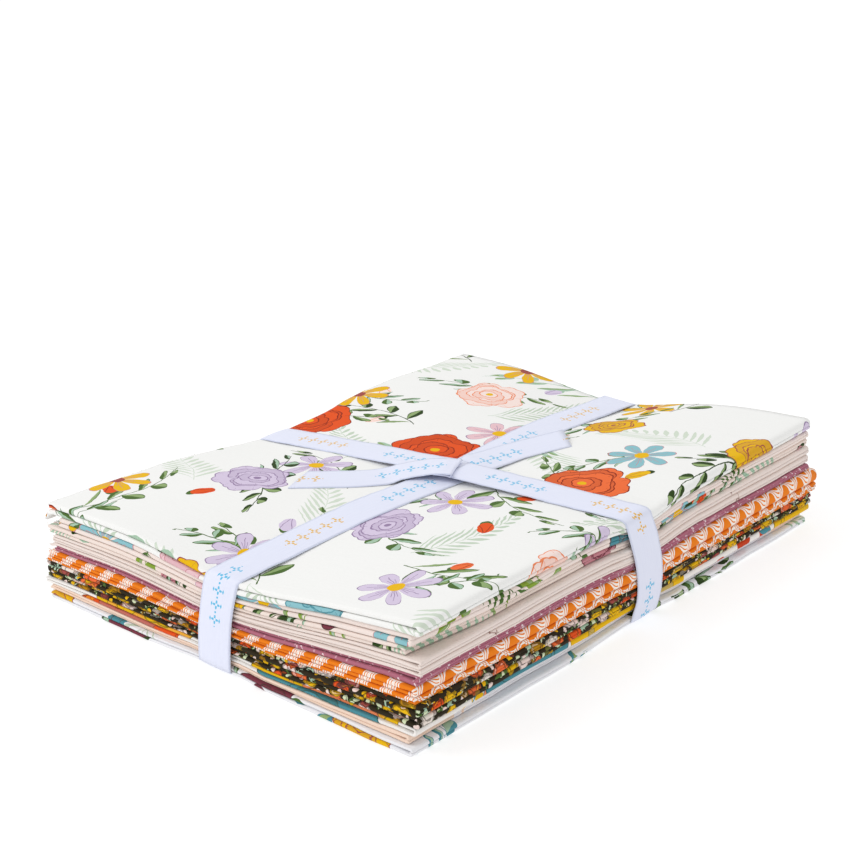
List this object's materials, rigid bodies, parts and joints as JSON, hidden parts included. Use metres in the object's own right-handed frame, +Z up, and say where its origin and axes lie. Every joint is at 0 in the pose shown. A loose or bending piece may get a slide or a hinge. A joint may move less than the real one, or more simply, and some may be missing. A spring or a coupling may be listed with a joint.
{
  "type": "tied bundle of folded fabric cuts",
  "caption": "Stack of folded printed cottons, tied both ways round like a parcel with a flat ribbon that ends in free tails.",
  "frame": {"origin": "on the floor under the middle of the bundle's outline", "axes": "+Z up, +Y along the long side of the pile, +X towards the side where the folds are closed"},
  "size_m": [0.2188, 0.2882, 0.0552],
  "materials": {
    "cotton_base_white": "printed plain-weave cotton, matt",
    "cotton_peach": "printed plain-weave cotton, matt",
    "cotton_colour_block": "printed plain-weave cotton, matt",
    "cotton_dark_garden": "printed plain-weave cotton, matt",
    "cotton_orange_arches": "printed plain-weave cotton, matt",
    "cotton_mauve_sprig": "printed plain-weave cotton, matt",
    "cotton_cream_sprig": "printed plain-weave cotton, matt",
    "cotton_blush_lower": "printed plain-weave cotton, matt",
    "cotton_blush_upper": "printed plain-weave cotton, matt",
    "cotton_white_floral": "printed plain-weave cotton, matt",
    "ribbon_satin": "flat satin ribbon"
  },
  "bodies": {
    "root": {"cut_base_white": "cotton_base_white", "cut_peach": "cotton_peach", "cut_colour_block": "cotton_colour_block", "cut_dark_garden": "cotton_dark_garden", "cut_orange_arches": "cotton_orange_arches", "cut_mauve_sprig": "cotton_mauve_sprig", "cut_cream_sprig": "cotton_cream_sprig", "cut_blush_lower": "cotton_blush_lower", "cut_blush_upper": "cotton_blush_upper", "cut_white_floral": "cotton_white_floral", "ribbon_wrap_long": "ribbon_satin", "ribbon_wrap_short": "ribbon_satin", "ribbon_tail_left": "ribbon_satin", "ribbon_tail_right": "ribbon_satin", "ribbon_knot": "ribbon_satin"}
  },
  "joints": []
}
